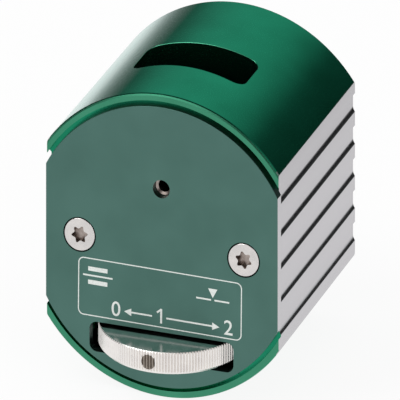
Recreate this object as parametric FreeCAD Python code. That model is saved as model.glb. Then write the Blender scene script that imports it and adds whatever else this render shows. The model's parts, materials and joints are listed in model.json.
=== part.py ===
import FreeCAD
import Part
import math
import os

# Hand-held fibre cleaver. A thumbwheel under the front plate turns a camshaft, which
# clamps the fibre, brings the blade to it and lets it go again.
# X is to the user's right, Y goes back into the tool, Z is up. The functions work about
# the housing bar's axis, with Y = 0 in the plane of its front rim.

# Housing: a round bar with two stepped grip flats
bar_radius = 25.0
body_length = 39.0
flats_width = 40.7
rim_width = 1.0
edge_chamfer = 0.3
back_wall = 7.0
step_count = 5
step_pitch = 5.4
top_step_height = 9.8
step_depth = 0.3
step_groove = 3.0
step_entry = 0.35
step_curve = 1.0

# Front plate
plate_thickness = 1.7
plate_proud = 0.5
plate_gap = 0.5
plate_edge_break = 0.12

# Pocket for the mechanism, and the window over the clamp
pocket_half_width = 11.0
pocket_wall = 3.9
pocket_corner = 1.0
window_width = 19.8
window_length = 9.5
window_middle = 16.45
window_corner = 2.0

# Front plate screws: countersunk, with a six-lobe recess
plate_screw_spread = 28.8
plate_screw_radius = 1.5
plate_screw_head_radius = 2.65
plate_screw_length = 8.0
head_clearance = 0.22
lobe_tip_radius = 1.4
lobe_valley_radius = 1.02
lobe_depth = 1.0
lobe_tip_half_angle = 11.0
lobe_valley_half_angle = 24.0

# Thumbwheel and its axle
wheel_radius = 12.5
wheel_thickness = 3.7
wheel_level = 10.6
wheel_proud = 6.5
wheel_chamfer = 0.3
wheel_room = 0.6
wheel_floor_room = 1.5
wheel_socket_depth = 2.0
slot_width = 25.3
slot_height = 4.95
slot_lip = 0.4
slot_corner = 1.3
index_radius = 1.2
index_length = 2.0
journal_radius = 1.5
journal_flat = 1.1
wheel_screw_radius = 1.0
wheel_screw_head_radius = 1.9
wheel_screw_length = 5.0

# Fits
running = 0.05
thread_fit = 0.03
press = 0.01
float_gap = 0.3
shim_room = 0.2

# Chassis: a machined cage with a lower shelf, a deck, a rear wall and two front posts
deck = 4.0
chassis_corner = 1.3
shelf_thickness = 2.0
deck_thickness = 2.0
rear_wall = 6.0
post_width = 2.6
post_depth = 2.6
bush_radius = 2.4
bush_proud = 0.5

# Small screws of the mechanism
small_screw_radius = 0.8
small_head_radius = 1.5
small_head_height = 0.8
small_screw_length = 4.0
driver_slot = 0.35

# Fibre path
fibre_rise = 5.6
fibre_radius = 0.115
entry_hole_radius = 1.5
entry_recess = 0.3
funnel_length = 1.6
guide_bore_radius = 0.6
nozzle_bore_radius = 0.25
nozzle_bore_length = 2.2
guide_length = 7.0
guide_bush_radius = 2.6
guide_wall = 1.6
tenon_width = 1.4
tenon_depth = 1.0
nozzle_length = 1.3
nozzle_radius = 1.0

# Camshaft: gear under the deck, snail cam and clamp roller over it
drive_teeth = 25
sector_margin = 19.0
sector_point_count = 7
sector_hub_radius = 3.6
cam_teeth = 20
gear_thickness = 2.0
camshaft_depth = 17.2
roller_radius = 3.0
roller_height = 4.0
roller_flat_half_angle = 40.0
roller_hub_radius = 1.9
clamp_nip = 0.13
snail_height = 1.5
snail_rest_radius = 3.6
blade_travel = 1.2
open_angle = 36.0
cleave_angle = 62.0
snail_margin = 7.0
snail_point_count = 6
shaft_end = 0.5

# Blade and its carriage
blade_plane = 11.0
blade_thickness = 1.2
blade_point_half_angle = 25.0
blade_length = 4.6
blade_height = 3.6
carriage_length = 5.6
carriage_width = 3.0
carriage_setback = 2.4
nose_setback = 1.3
cheek_setback = 1.8
blade_screw_inset = 1.4
rail_top_width = 2.1
rail_foot_width = 1.6
rail_height = 1.6
rail_length = 5.8
follower_radius = 0.75
follower_arm_thickness = 1.2
follower_gap = 0.08
follower_wall = 0.35

# Fixed anvil and sprung jaw
anvil_nose_radius = 1.4
anvil_depth = 2.6
anvil_rise = 2.0
anvil_gap = 0.06
jaw_length = 6.0
jaw_thickness = 2.0
pad_thickness = 0.8
pad_height = 3.2
stem_radius = 1.25
clip_thickness = 0.5
clip_radius = 2.2
jaw_end_margin = 0.3
jaw_drop = 1.6
jaw_groove_depth = 0.3
jaw_guide_thickness = 2.8
jaw_guide_rise = 1.0
jaw_foot_reach = 3.2
jaw_foot_height = 1.4
jaw_spring_room = 3.4
jaw_spring_wire = 0.2
jaw_spring_turns = 4

# Centring spring of the thumbwheel, blade leaf spring
centring_wire = 0.35
centring_turns = 3.5
wire_side_count = 6
coil_section_count = 12
centring_pitch = 0.95
centring_radius = 2.55
centring_direction = 135.0
lug_length = 1.8
stop_length = 1.3
leg_overrun = 1.0
leaf_thickness = 0.2
leaf_height = 2.6
leaf_foot_length = 3.4
leaf_foot_width = 3.6
leaf_reach = 8.8
leaf_tip = 0.4

# Places worked out from the sizes above
half_flats = flats_width / 2
plate_front = -plate_proud
seat = plate_thickness - plate_proud
recess_radius = bar_radius - rim_width
plate_radius = recess_radius - plate_gap
pocket_back = body_length - back_wall
axle_y = wheel_radius - plate_proud - wheel_proud
wheel_top = wheel_level - bar_radius
wheel_bottom = wheel_top - wheel_thickness
frame_bottom = wheel_top + float_gap + shim_room
shelf = frame_bottom + shelf_thickness
chassis_height = deck - frame_bottom
deck_underside = deck - deck_thickness
fibre_height = deck + fibre_rise
pocket_roof = math.sqrt((bar_radius - pocket_wall) ** 2 - pocket_half_width ** 2)
slot_top = wheel_top + slot_lip
camshaft_x = roller_radius + clamp_nip / 2
gear_ratio = drive_teeth / cam_teeth
centre_distance = math.hypot(camshaft_x, camshaft_depth - axle_y)
gear_module = 2 * centre_distance / (drive_teeth + cam_teeth)
snail_rate = blade_travel / math.radians(cleave_angle * gear_ratio)
snail_base = deck + float_gap
snail_top = snail_base + snail_height
arm_base = snail_top + float_gap
arm_top = arm_base + follower_arm_thickness
gear_top = deck_underside - bush_proud - running
gear_base = gear_top - gear_thickness
roller_base = fibre_height - roller_height / 2
follower_x = camshaft_x + snail_rest_radius + follower_radius + follower_gap
blade_tip = fibre_radius + blade_travel
carriage_front = blade_tip + carriage_setback
pad_face = -clamp_nip / 2
jaw_face = pad_face - pad_thickness
jaw_back = jaw_face - jaw_thickness
jaw_guide_face = jaw_back - jaw_spring_room
jaw_guide_back = jaw_guide_face - jaw_guide_thickness
jaw_level = fibre_height - jaw_drop
lug_start = centring_radius + centring_wire + float_gap
lug_reach = lug_start + lug_length

# The tool stands on the lowest line of its bar, with the origin under its middle.
stand = FreeCAD.Vector(0, (wheel_proud + plate_proud - body_length) / 2, bar_radius)

X = FreeCAD.Vector(1, 0, 0)
Y = FreeCAD.Vector(0, 1, 0)
Z = FreeCAD.Vector(0, 0, 1)


def vec(x, y, z):
    return FreeCAD.Vector(x, y, z)


def save(name, shape):
    placed = shape.removeSplitter()
    placed.translate(stand)
    placed.exportStep("parts/" + name + ".step")


def block(x0, x1, y0, y1, z0, z1):
    return Part.makeBox(x1 - x0, y1 - y0, z1 - z0, vec(x0, y0, z0))


def rod(radius, start, direction, length):
    return Part.makeCylinder(radius, length, start, direction)


def cone(radius0, radius1, start, direction, length):
    return Part.makeCone(radius0, radius1, length, start, direction)


def prism(points, sweep):
    outline = Part.makePolygon(points + [points[0]])
    return Part.Face(outline).extrude(sweep)


def round_edges(shape, direction, radius):
    # Rounds every straight edge that runs along the given direction.
    edges = [
        e for e in shape.Edges
        if e.Curve.TypeId == "Part::GeomLine" and abs(e.Curve.Direction.dot(direction)) > 0.999
    ]
    return shape.makeFillet(radius, edges)


def turned(profile, start, direction):
    # Spins a list of (radius, distance along the axis) points about the axis.
    side = X if abs(direction.dot(X)) < 0.5 else Z
    points = [start + side * r + direction * d for r, d in profile]
    face = Part.Face(Part.makePolygon(points + [points[0]]))
    return face.revolve(start, direction, 360)


def fuse_all(shapes):
    return shapes[0].multiFuse(shapes[1:])


def grip_cutter():
    # What is milled off beside one flat: a plane with level grooves. Each groove runs
    # in behind the flat and curves out again to a sharp edge below it.
    outer = bar_radius + 2.0
    curve_radius = (step_curve ** 2 + step_depth ** 2) / (2 * step_depth)
    half_turn = math.asin(step_curve / curve_radius) / 2
    floor = half_flats - step_depth
    edges = []
    last = vec(half_flats, 0, outer)
    for step in range(step_count):
        edge = top_step_height - step * step_pitch
        groove_top = vec(half_flats, 0, edge + step_groove)
        groove_floor = vec(floor, 0, edge + step_groove - step_entry)
        curve_start = vec(floor, 0, edge + step_curve)
        curve_middle = vec(
            floor + curve_radius * (1 - math.cos(half_turn)),
            0,
            edge + step_curve - curve_radius * math.sin(half_turn),
        )
        curve_end = vec(half_flats, 0, edge)
        edges.append(Part.LineSegment(last, groove_top).toShape())
        edges.append(Part.LineSegment(groove_top, groove_floor).toShape())
        edges.append(Part.LineSegment(groove_floor, curve_start).toShape())
        edges.append(Part.Arc(curve_start, curve_middle, curve_end).toShape())
        last = curve_end
    corners = [last, vec(half_flats, 0, -outer), vec(outer, 0, -outer), vec(outer, 0, outer)]
    corners.append(vec(half_flats, 0, outer))
    for a, b in zip(corners, corners[1:]):
        edges.append(Part.LineSegment(a, b).toShape())
    face = Part.Face(Part.Wire(Part.__sortEdges__(edges)))
    return face.extrude(Y * body_length)


def wheel_pocket():
    # Room for the thumbwheel, open towards the front.
    radius = wheel_radius + wheel_room
    floor = wheel_bottom - wheel_floor_room
    round_part = rod(radius, vec(0, axle_y, floor), Z, frame_bottom - floor)
    front_part = block(-radius, radius, 0, axle_y, floor, frame_bottom)
    return round_part.fuse(front_part)


def housing():
    bar = rod(bar_radius, vec(0, 0, 0), Y, body_length)
    rims = [e for e in bar.Edges if e.Curve.TypeId == "Part::GeomCircle"]
    bar = bar.makeChamfer(edge_chamfer, rims)
    right = grip_cutter()
    left = right.mirror(vec(0, 0, 0), X)
    recess = rod(recess_radius, vec(0, 0, 0), Y, seat)
    pocket = block(
        -pocket_half_width, pocket_half_width, 0, pocket_back, frame_bottom, pocket_roof
    )
    pocket = round_edges(pocket, Y, pocket_corner)
    window = block(
        -window_width / 2, window_width / 2,
        window_middle - window_length / 2, window_middle + window_length / 2,
        pocket_roof - 1, bar_radius + 1,
    )
    window = round_edges(window, Z, window_corner)
    cuts = [right, left, recess, pocket, window, wheel_pocket()]
    for side in (-1, 1):
        hole = vec(side * plate_screw_spread / 2, seat, 0)
        cuts.append(rod(plate_screw_radius + thread_fit, hole, Y, plate_screw_length))
    return bar.cut(fuse_all(cuts))


def front_plate():
    disc = rod(plate_radius, vec(0, plate_front, 0), Y, plate_thickness)
    keep = block(-half_flats, half_flats, plate_front, seat, -plate_radius, plate_radius)
    plate = disc.common(keep)
    front_edges = [
        e for e in plate.Edges
        if abs(e.BoundBox.YMin - plate_front) < 0.001 and abs(e.BoundBox.YMax - plate_front) < 0.001
    ]
    plate = plate.makeChamfer(plate_edge_break, front_edges)
    slot = block(
        -slot_width / 2, slot_width / 2, plate_front - 1, seat + 1, slot_top - slot_height, slot_top
    )
    slot = round_edges(slot, Y, slot_corner)
    cuts = [slot, rod(entry_hole_radius, vec(0, plate_front, fibre_height), Y, plate_thickness)]
    for side in (-1, 1):
        centre = vec(side * plate_screw_spread / 2, plate_front, 0)
        cuts.append(countersink(centre))
        cuts.append(rod(plate_screw_radius + head_clearance, centre, Y, plate_thickness))
    return plate.cut(fuse_all(cuts))


def countersink(centre):
    # The seat of one screw head, a 90 degree cone.
    head = plate_screw_head_radius + head_clearance
    bore = plate_screw_radius + head_clearance
    return cone(head, bore, centre, Y, head - bore)


def six_lobe(centre, twist):
    # The driver recess: six blunt lobes round a core.
    outline = []
    for lobe in range(6):
        for radius, offset in ((lobe_valley_radius, -lobe_valley_half_angle),
                               (lobe_tip_radius, -lobe_tip_half_angle),
                               (lobe_tip_radius, lobe_tip_half_angle),
                               (lobe_valley_radius, lobe_valley_half_angle)):
            angle = math.radians(60 * lobe + offset + twist)
            outline.append(centre + vec(radius * math.cos(angle), 0, radius * math.sin(angle)))
    return prism(outline, Y * lobe_depth)


def front_plate_screws():
    head = plate_screw_head_radius
    neck = plate_screw_radius
    length = plate_thickness + plate_screw_length - float_gap
    profile = [(0, 0), (head, 0), (neck, head - neck), (neck, length), (0, length)]
    screws = []
    for side, twist in ((-1, 0), (1, 18)):
        centre = vec(side * plate_screw_spread / 2, plate_front, 0)
        screws.append(turned(profile, centre, Y).cut(six_lobe(centre, twist)))
    return Part.makeCompound(screws)


def thumbwheel():
    disc = rod(wheel_radius, vec(0, axle_y, wheel_bottom), Z, wheel_thickness)
    rims = [e for e in disc.Edges if e.Curve.TypeId == "Part::GeomCircle"]
    disc = disc.makeChamfer(wheel_chamfer, rims)
    socket = flatted_rod(journal_radius + press, journal_flat + press, wheel_socket_depth)
    socket.translate(vec(0, axle_y, wheel_top - wheel_socket_depth))
    hole = rod(wheel_screw_radius + running, vec(0, axle_y, wheel_bottom), Z, wheel_thickness)
    head = wheel_screw_head_radius + running
    neck = wheel_screw_radius + running
    seat_cone = cone(head, neck, vec(0, axle_y, wheel_bottom), Z, head - neck)
    index_hole = rod(index_radius + press, index_start(), -Y, index_length + 1)
    return disc.cut(fuse_all([socket, hole, seat_cone, index_hole]))


def flatted_rod(radius, flat, length):
    # A rod standing on the origin, flattened on its back.
    keep = block(-radius, radius, -radius, flat, 0, length)
    return rod(radius, vec(0, 0, 0), Z, length).common(keep)


def index_start():
    return vec(0, axle_y - wheel_radius + index_length, (wheel_top + wheel_bottom) / 2)


def index_pin():
    # The mark on the rim: a pin turned flush with the wheel.
    pin = rod(index_radius, index_start(), -Y, index_length + 1)
    return pin.common(rod(wheel_radius, vec(0, axle_y, wheel_bottom), Z, wheel_thickness))


def wheel_axle():
    # A plain rod, flattened where it sits in the thumbwheel and tapped at its end.
    end = wheel_top - wheel_socket_depth
    stub = flatted_rod(journal_radius, journal_flat, wheel_top - end + press)
    stub.translate(vec(0, axle_y, end))
    journal = rod(journal_radius, vec(0, axle_y, wheel_top), Z, deck - running - wheel_top)
    thread = rod(
        wheel_screw_radius + thread_fit, vec(0, axle_y, end), Z, wheel_screw_length
    )
    return stub.fuse(journal).cut(thread)


def wheel_screw():
    head = wheel_screw_head_radius
    neck = wheel_screw_radius
    profile = [(0, 0), (head, 0), (neck, head - neck), (neck, wheel_screw_length), (0, wheel_screw_length)]
    screw = turned(profile, vec(0, axle_y, wheel_bottom), Z)
    return screw.cut(driver_cut(vec(0, axle_y, wheel_bottom), head, X, Z))


def driver_cut(centre, head_radius, along, inward):
    # The straight slot across a screw head, cut inward from its outer face.
    across = along.cross(inward)
    corner = centre - along * head_radius - across * (driver_slot / 2) - inward
    points = [
        corner,
        corner + along * (2 * head_radius),
        corner + along * (2 * head_radius) + across * driver_slot,
        corner + across * driver_slot,
    ]
    return prism(points, inward * (1 + driver_slot))


def cheese_screw(seat_point, inward, length):
    # A small slotted screw whose head stands on seat_point and whose shank runs inward.
    under_head = seat_point - inward * small_head_height
    head = rod(small_head_radius, under_head, inward, small_head_height)
    shank = rod(small_screw_radius, under_head, inward, small_head_height + length)
    along = X if abs(inward.dot(X)) < 0.5 else Y
    return head.fuse(shank).cut(driver_cut(under_head, small_head_radius, along, inward))


def screw_hole(seat_point, inward, length):
    return rod(small_screw_radius + thread_fit, seat_point, inward, length)


def gear(teeth, bore_radius, start_angle):
    # A spur gear standing on the origin. Its tooth flanks narrow towards the tip, and
    # start_angle turns one tooth's middle to that direction.
    pitch_radius = gear_module * teeth / 2
    tip = pitch_radius + 0.9 * gear_module
    root = pitch_radius - 1.15 * gear_module
    pitch_angle = 2 * math.pi / teeth
    outline = []
    for tooth in range(teeth):
        middle = math.radians(start_angle) + tooth * pitch_angle
        for radius, share in ((root, -0.34), (pitch_radius, -0.235), (tip, -0.11),
                              (tip, 0.11), (pitch_radius, 0.235), (root, 0.34)):
            angle = middle + share * pitch_angle
            outline.append(vec(radius * math.cos(angle), radius * math.sin(angle), 0))
    body = prism(outline, Z * gear_thickness)
    return body.cut(rod(bore_radius, vec(0, 0, 0), Z, gear_thickness))


def mesh_angle():
    # Direction from the wheel's axle to the camshaft.
    return math.degrees(math.atan2(camshaft_depth - axle_y, camshaft_x))


def drive_gear():
    # Only the stretch that meets the cam gear has teeth. The rest is cut back to a hub,
    # which clears the front plate.
    reach = gear_module * drive_teeth
    first = mesh_angle() - cleave_angle - sector_margin
    turn = cleave_angle + open_angle + 2 * sector_margin
    pie = [vec(0, 0, 0)]
    for n in range(sector_point_count):
        angle = math.radians(first + turn * n / (sector_point_count - 1))
        pie.append(vec(reach * math.cos(angle), reach * math.sin(angle), 0))
    sector = prism(pie, Z * gear_thickness)
    hub = rod(sector_hub_radius, vec(0, 0, 0), Z, gear_thickness)
    wheel = gear(drive_teeth, journal_radius + press, mesh_angle()).common(sector.fuse(hub))
    wheel.translate(vec(0, axle_y, gear_base))
    return wheel


def cam_gear():
    facing = mesh_angle() + 180 + 180 / cam_teeth
    wheel = gear(cam_teeth, journal_radius + press, facing)
    wheel.translate(vec(camshaft_x, camshaft_depth, gear_base))
    return wheel


def leg_half_gap():
    # Half the width that fits between the two legs of the centring spring.
    return centring_radius - centring_wire - running


def spring_height():
    return centring_pitch * centring_turns


def towards_legs(shape, level):
    # Turns a piece made along +X about the axle to the side where the spring's legs point.
    shape.rotate(vec(0, 0, 0), Z, centring_direction)
    shape.translate(vec(0, axle_y, level))
    return shape


def spring_driver():
    # The lug under the drive gear that pushes one leg of the centring spring aside.
    half = leg_half_gap()
    drop = spring_height() + 2 * centring_wire + 2 * float_gap
    lug = block(lug_start, lug_reach, -half, half, -drop, 0)
    return towards_legs(round_edges(lug, Z, 0.5), gear_base)


def spring_stop():
    # The fixed stop that both legs of the centring spring rest on.
    half = leg_half_gap()
    swept = math.hypot(lug_reach, half) + float_gap
    stop = block(swept, swept + stop_length, -half, half, 0, gear_base - float_gap - shelf)
    return towards_legs(round_edges(stop, Z, 0.4), shelf)


def wire_section(point, along, outward, radius):
    # A hexagon across a spring's wire.
    sideways = along.cross(outward)
    corners = []
    for n in range(wire_side_count):
        angle = 2 * math.pi * n / wire_side_count
        across = outward * math.cos(angle) + sideways * math.sin(angle)
        corners.append(point + across * radius)
    return Part.makePolygon(corners + [corners[0]])


def coil_sections(coil_radius, wire_radius, pitch, turns, start_angle):
    # Sections along a coil that rises from the origin about Z.
    sections = []
    for n in range(round(turns * coil_section_count) + 1):
        angle = math.radians(start_angle + 360 * n / coil_section_count)
        outward = vec(math.cos(angle), math.sin(angle), 0)
        centre = outward * coil_radius + Z * (pitch * n / coil_section_count)
        sections.append(wire_section(centre, Z.cross(outward), outward, wire_radius))
    return sections


def centring_spring():
    # A leg, the coil round the axle, and the other leg.
    height = spring_height()
    reach = math.hypot(lug_reach, leg_half_gap()) + float_gap + stop_length + leg_overrun
    low_tip = wire_section(vec(reach, centring_radius, 0), -X, Y, centring_wire)
    high_tip = wire_section(vec(reach, -centring_radius, height), X, -Y, centring_wire)
    coil = coil_sections(centring_radius, centring_wire, centring_pitch, centring_turns, 90)
    spring = Part.makeLoft([low_tip] + coil + [high_tip], True, True)
    return towards_legs(spring, gear_base - float_gap - centring_wire - height)


def chassis():
    half = pocket_half_width - running
    cage = block(-half, half, seat, pocket_back, frame_bottom, deck)
    cage = round_edges(cage, Y, chassis_corner)
    inner_half = half - post_width
    wall_front = pocket_back - rear_wall
    cuts = [
        block(-half, half, seat + post_depth, wall_front, shelf, deck_underside),
        block(-inner_half, inner_half, seat, wall_front, shelf, deck_underside),
    ]
    for x, y in ((0, axle_y), (camshaft_x, camshaft_depth)):
        cuts.append(rod(bush_radius + press, vec(x, y, frame_bottom), Z, chassis_height))
    for side in (-1, 1):
        cuts.append(guide_tenon(side))
    for x, y in jaw_screw_points() + [leaf_screw_point()]:
        cuts.append(screw_hole(vec(x, y, deck), -Z, deck_thickness))
    x, y = anvil_place()
    cuts.append(rod(anvil_nose_radius + press, vec(x, y, deck), -Z, deck_thickness))
    cuts.append(rail_tenon())
    return cage.cut(fuse_all(cuts))


def bush(x, y, bottom, top):
    # A plain bearing bush, pressed into the chassis.
    outer = rod(bush_radius, vec(x, y, bottom), Z, top - bottom)
    return outer.cut(rod(journal_radius + running, vec(x, y, bottom), Z, top - bottom))


def guide_half_width():
    return guide_bush_radius + guide_wall


def guide_tenon(side):
    # The guide block stands in two grooves of the deck, either side of the axle's bush.
    outer = side * guide_half_width()
    inner = side * (guide_half_width() - tenon_width)
    return block(min(inner, outer), max(inner, outer), seat, seat + guide_length,
                 deck - tenon_depth, deck)


def guide_block():
    # An arch over the entry bush, held between the deck and the front plate.
    half = guide_half_width()
    column = block(-half, half, seat, seat + guide_length, deck, fibre_height)
    arch = rod(half, vec(0, seat, fibre_height), Y, guide_length)
    body = fuse_all([column, arch, guide_tenon(-1), guide_tenon(1)])
    return body.cut(rod(guide_bush_radius + press, vec(0, seat, fibre_height), Y, guide_length))


def guide_end():
    return seat + guide_length


def throat():
    # Where the nozzle starts, at the end of the guide bore.
    return guide_end() + nozzle_length - nozzle_bore_length


def entry_bush():
    # A funnel behind the entry hole, then the guide bore and a seat for the nozzle.
    lip = entry_hole_radius - running
    start = plate_front + entry_recess
    nozzle_seat = nozzle_radius + press
    profile = [
        (lip, start), (lip, seat), (guide_bush_radius, seat), (guide_bush_radius, guide_end()),
        (nozzle_seat, guide_end()), (nozzle_seat, throat()), (guide_bore_radius, throat()),
        (guide_bore_radius, start + funnel_length),
    ]
    return turned(profile, vec(0, 0, fibre_height), Y)


def guide_nozzle():
    # A slim tube pressed into the back of the bush, that the bared fibre leaves by.
    start = vec(0, throat(), fibre_height)
    tube = rod(nozzle_radius, start, Y, nozzle_bore_length)
    return tube.cut(rod(nozzle_bore_radius, start, Y, nozzle_bore_length))


def snail_cam():
    # Its radius falls evenly with the angle, so the blade moves in step with the wheel.
    low = -(open_angle * gear_ratio + snail_margin)
    high = cleave_angle * gear_ratio + snail_margin
    last = snail_point_count - 1
    curve = []
    for n in range(snail_point_count):
        angle = math.radians(low + (high - low) * n / last)
        radius = snail_rest_radius - snail_rate * angle
        curve.append(vec(radius * math.cos(angle), radius * math.sin(angle), 0))
    spiral = Part.BSplineCurve()
    spiral.interpolate(curve)
    small = snail_rest_radius - snail_rate * math.radians(high)
    start = math.radians(low)
    heel = vec(small * math.cos(start), small * math.sin(start), 0)
    opposite = math.radians((low + high) / 2 + 180)
    far = vec(small * math.cos(opposite), small * math.sin(opposite), 0)
    edges = [
        spiral.toShape(),
        Part.Arc(curve[-1], far, heel).toShape(),
        Part.LineSegment(heel, curve[0]).toShape(),
    ]
    body = Part.Face(Part.Wire(edges)).extrude(Z * snail_height)
    body = body.cut(rod(journal_radius + press, vec(0, 0, 0), Z, snail_height))
    body.translate(vec(camshaft_x, camshaft_depth, snail_base))
    return body


def clamp_roller():
    # Round where it presses the fibre on the jaw, flat where it lets the fibre in.
    body = rod(roller_radius, vec(0, 0, roller_base), Z, roller_height)
    flat = roller_radius * math.cos(math.radians(roller_flat_half_angle))
    cut = block(-roller_radius - 1, -flat, -roller_radius, roller_radius,
                roller_base, roller_base + roller_height)
    cut.rotate(vec(0, 0, 0), Z, -open_angle * gear_ratio)
    hub = rod(roller_hub_radius, vec(0, 0, snail_top), Z, roller_base - snail_top)
    body = body.cut(cut).fuse(hub)
    body = body.cut(rod(journal_radius + press, vec(0, 0, snail_top), Z, bar_radius))
    body.translate(vec(camshaft_x, camshaft_depth, 0))
    return body


def camshaft():
    bottom = frame_bottom + running
    top = roller_base + roller_height + shaft_end
    return rod(journal_radius, vec(camshaft_x, camshaft_depth, bottom), Z, top - bottom)


def retaining_clip(centre, direction, groove_radius):
    # An open spring clip in a groove, with its gap to one side.
    disc = rod(clip_radius, centre, direction, clip_thickness)
    hole = rod(groove_radius + press, centre, direction, clip_thickness)
    across = Y if abs(direction.dot(X)) > 0.5 else X
    along = direction.cross(across)
    corner = centre - across * (groove_radius * 0.8)
    width = across * (2 * groove_radius * 0.8)
    gap = prism([corner, corner + width, corner + width + along * 4, corner + along * 4],
                direction * clip_thickness)
    return disc.cut(hole.fuse(gap))


def rail_outline(extra):
    # Dovetail outline in Y and Z. The extra widens it all round for the slide's slot.
    top = rail_top_width / 2 + extra
    foot = rail_foot_width / 2 + extra
    height = rail_height + extra
    return [
        vec(0, blade_plane - foot, deck), vec(0, blade_plane + foot, deck),
        vec(0, blade_plane + top, deck + height), vec(0, blade_plane - top, deck + height),
    ]


def rail_start():
    return carriage_front + 0.2


def blade_rail():
    # The dovetail and the foot that is let into the deck.
    rail = prism(rail_outline(0), X * rail_length)
    rail.translate(X * rail_start())
    return rail.fuse(rail_tenon())


def rail_tenon():
    half = rail_foot_width / 2
    return block(rail_start(), rail_start() + rail_length, blade_plane - half, blade_plane + half,
                 deck - tenon_depth, deck)


def carriage_end():
    return carriage_front + carriage_length


def blade_carriage():
    # Slides on the dovetail. Its cheek carries the blade and its arm the follower pin.
    front_y = blade_plane - carriage_width / 2
    back_y = blade_plane + carriage_width / 2
    base = block(carriage_front, carriage_end(), front_y, back_y, deck + running, arm_top)
    nose = block(blade_tip + nose_setback, carriage_front, front_y, back_y, arm_base, arm_top)
    cheek = block(blade_tip + cheek_setback, carriage_end(), blade_plane + blade_thickness / 2, back_y,
                  arm_top, arm_top + blade_height)
    arm = block(follower_x - follower_radius - follower_wall, carriage_end(), back_y,
                camshaft_depth + follower_radius + follower_wall, arm_base, arm_top)
    slot = prism(rail_outline(running), X * (carriage_length + 2))
    slot.translate(X * (carriage_front - 1))
    pin_hole = rod(follower_radius + press, vec(follower_x, camshaft_depth, arm_base), Z,
                   follower_arm_thickness)
    clamp_hole = screw_hole(blade_screw_point(), Y, carriage_width)
    return fuse_all([base, nose, cheek, arm]).cut(fuse_all([slot, pin_hole, clamp_hole]))


def blade_screw_point():
    x = blade_tip + blade_length - blade_screw_inset
    return vec(x, blade_plane - carriage_width / 2, arm_top + blade_height / 2)


def blade():
    # A flat blank ground to an upright edge that meets the fibre square.
    half = blade_thickness / 2
    taper = half / math.tan(math.radians(blade_point_half_angle))
    outline = [
        vec(blade_tip, blade_plane, arm_top),
        vec(blade_tip + taper, blade_plane - half, arm_top),
        vec(blade_tip + blade_length, blade_plane - half, arm_top),
        vec(blade_tip + blade_length, blade_plane + half, arm_top),
        vec(blade_tip + taper, blade_plane + half, arm_top),
    ]
    return prism(outline, Z * blade_height).cut(screw_hole(blade_screw_point(), Y, carriage_width))


def blade_clamp():
    front_y = blade_plane - carriage_width / 2
    plate = block(blade_tip + cheek_setback, carriage_end(), front_y, blade_plane - blade_thickness / 2,
                  arm_top, arm_top + blade_height)
    return plate.cut(screw_hole(blade_screw_point(), Y, carriage_width))


def blade_clamp_screw():
    return cheese_screw(blade_screw_point(), Y, carriage_width - 0.1)


def follower_pin():
    bottom = snail_base + 0.1
    return rod(follower_radius, vec(follower_x, camshaft_depth, bottom), Z, arm_top - bottom)


def blade_spring():
    # A leaf on the deck that presses the carriage towards the fibre.
    x = carriage_end()
    y0 = camshaft_depth - leaf_tip
    y1 = camshaft_depth + leaf_reach
    foot_y = y1 - leaf_foot_width
    leaf = block(x, x + leaf_thickness, y0, y1, deck + running, deck + running + leaf_height)
    foot = block(x - leaf_foot_length, x, foot_y, y1, deck, deck + leaf_thickness)
    side = block(x, x + leaf_thickness, foot_y, y1, deck, deck + leaf_height)
    px, py = leaf_screw_point()
    return fuse_all([leaf, foot, side]).cut(screw_hole(vec(px, py, deck), Z, leaf_thickness))


def leaf_screw_point():
    x = carriage_end() - (leaf_foot_length + leaf_thickness) / 2
    return (x, camshaft_depth + leaf_reach - leaf_foot_width / 2)


def blade_spring_screw():
    x, y = leaf_screw_point()
    return cheese_screw(vec(x, y, deck + leaf_thickness), -Z, deck_thickness)


def anvil():
    # Backs the fibre beside the blade. Its upright nose bends the fibre as it is scored,
    # and goes on down into the deck.
    x, y = anvil_place()
    bottom = deck - deck_thickness
    height = fibre_height + anvil_rise - bottom
    nose = rod(anvil_nose_radius, vec(x, y, bottom), Z, height)
    body = block(x + anvil_nose_radius - anvil_depth, x, y - anvil_nose_radius,
                 y + anvil_nose_radius, deck, bottom + height)
    return nose.fuse(body)


def anvil_place():
    return (-fibre_radius - anvil_gap - anvil_nose_radius, blade_plane)


def jaw():
    # A sliding head on a stem. Its foot runs on the deck and keeps it from turning.
    half = jaw_length / 2
    head = block(jaw_back, jaw_face, camshaft_depth - half, camshaft_depth + half,
                 deck + running, fibre_height + pad_height / 2)
    end = jaw_guide_back - clip_thickness - jaw_end_margin
    stem = rod(stem_radius, vec(jaw_back, camshaft_depth, jaw_level), -X, jaw_back - end)
    groove_start = vec(jaw_guide_back, camshaft_depth, jaw_level)
    ring = rod(stem_radius + 1, groove_start, -X, clip_thickness)
    ring = ring.cut(rod(stem_radius - jaw_groove_depth, groove_start, -X, clip_thickness))
    return head.fuse(stem).cut(ring)


def jaw_pad():
    # The hard insert that the roller presses the fibre on.
    half = jaw_length / 2
    return block(jaw_face, pad_face, camshaft_depth - half, camshaft_depth + half,
                 fibre_height - pad_height / 2, fibre_height + pad_height / 2)


def jaw_clip():
    centre = vec(jaw_guide_back - clip_thickness, camshaft_depth, jaw_level)
    return retaining_clip(centre, X, stem_radius - jaw_groove_depth)


def jaw_guide():
    half = jaw_length / 2
    y0, y1 = camshaft_depth - half, camshaft_depth + half
    wall = block(jaw_guide_back, jaw_guide_face, y0, y1, deck, fibre_height + jaw_guide_rise)
    foot = block(jaw_guide_back, jaw_guide_face, y0 - jaw_foot_reach, y1 + jaw_foot_reach,
                 deck, deck + jaw_foot_height)
    cuts = [rod(stem_radius + running, vec(jaw_guide_face, camshaft_depth, jaw_level), -X,
                jaw_guide_thickness)]
    for x, y in jaw_screw_points():
        cuts.append(screw_hole(vec(x, y, deck), Z, jaw_foot_height))
    return wall.fuse(foot).cut(fuse_all(cuts))


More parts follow.
